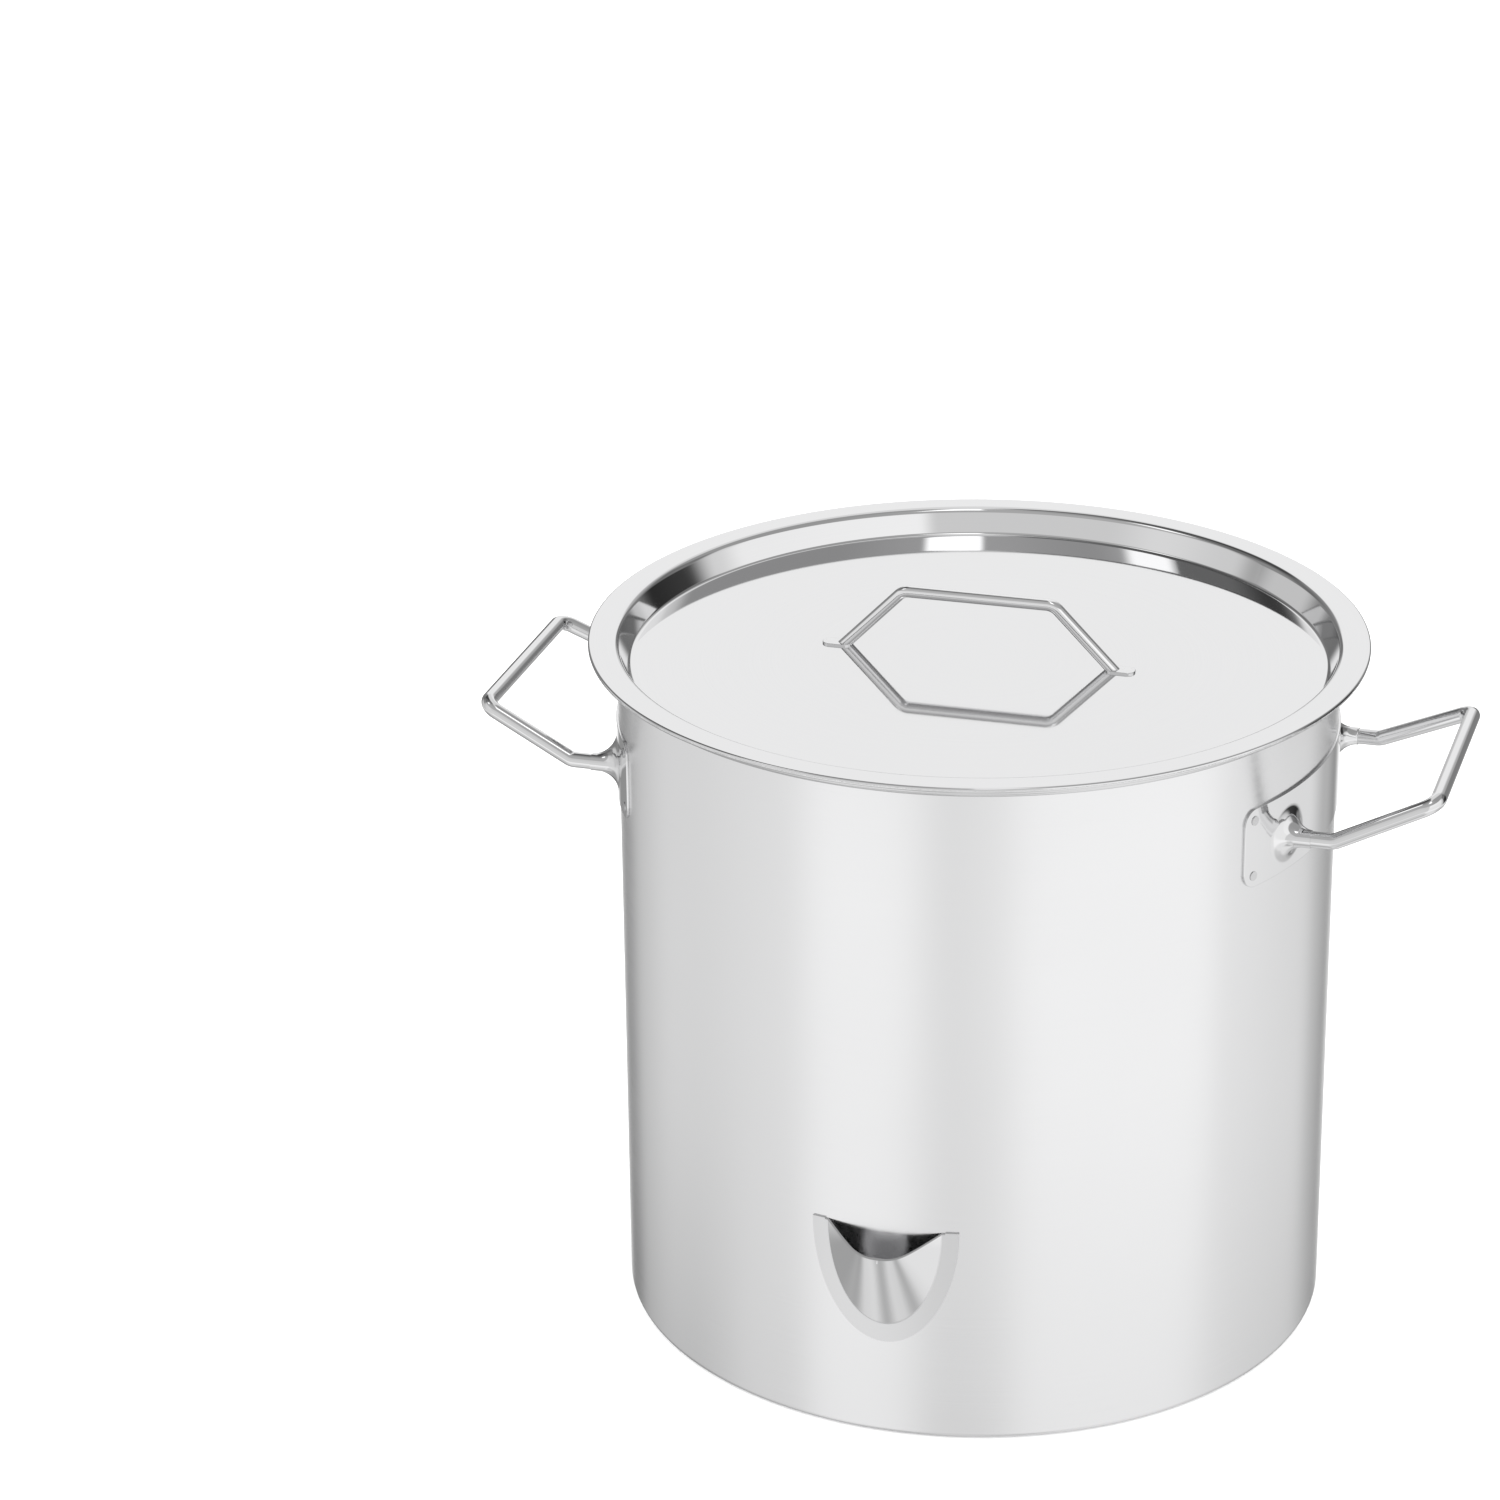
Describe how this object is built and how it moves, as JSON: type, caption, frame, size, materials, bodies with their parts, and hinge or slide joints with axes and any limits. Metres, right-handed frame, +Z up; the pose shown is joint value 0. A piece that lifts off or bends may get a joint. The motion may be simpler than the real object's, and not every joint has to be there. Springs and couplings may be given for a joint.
{
  "type": "brew kettle",
  "caption": "Tall cylindrical steel brew kettle with lift-off recessed lid, angular wire side handles, wire lid handle, open front pocket and layered heat-spreading base.",
  "frame": {"origin": "centre of the flat base where it stands", "axes": "+Z up along the kettle's axis; the pocket faces -Y; the side handles point along +X and -X"},
  "size_m": [0.4888, 0.389, 0.3772],
  "materials": {
    "steel_wall": "satin, fine brushing round the axis",
    "steel_lid": "bright, near mirror",
    "steel_plate": "bright, near mirror",
    "steel_wire": "polished",
    "steel_matte": "satin, slightly matt",
    "steel_weld": "matt weld",
    "aluminium_core": "plain, enclosed"
  },
  "bodies": {
    "kettle": {"kettle_wall": "steel_wall", "base_pan": "steel_wall", "base_weld": "steel_weld", "heat_spreader": "aluminium_core", "base_cap": "steel_wall", "handle_plate_right": "steel_plate", "handle_plate_left": "steel_plate", "side_handle_right": "steel_wire", "side_handle_left": "steel_wire", "plate_welds_right": "steel_weld", "plate_welds_left": "steel_weld", "front_pocket": "steel_matte"},
    "lid": {"lid_pan": "steel_lid", "lid_handle": "steel_wire", "lid_handle_welds": "steel_weld"}
  },
  "joints": [
    {"name": "lid_lift", "type": "slide", "parent": "kettle", "child": "lid", "axis": [0, 0, 1], "range_m": [0, 0.35]}
  ]
}
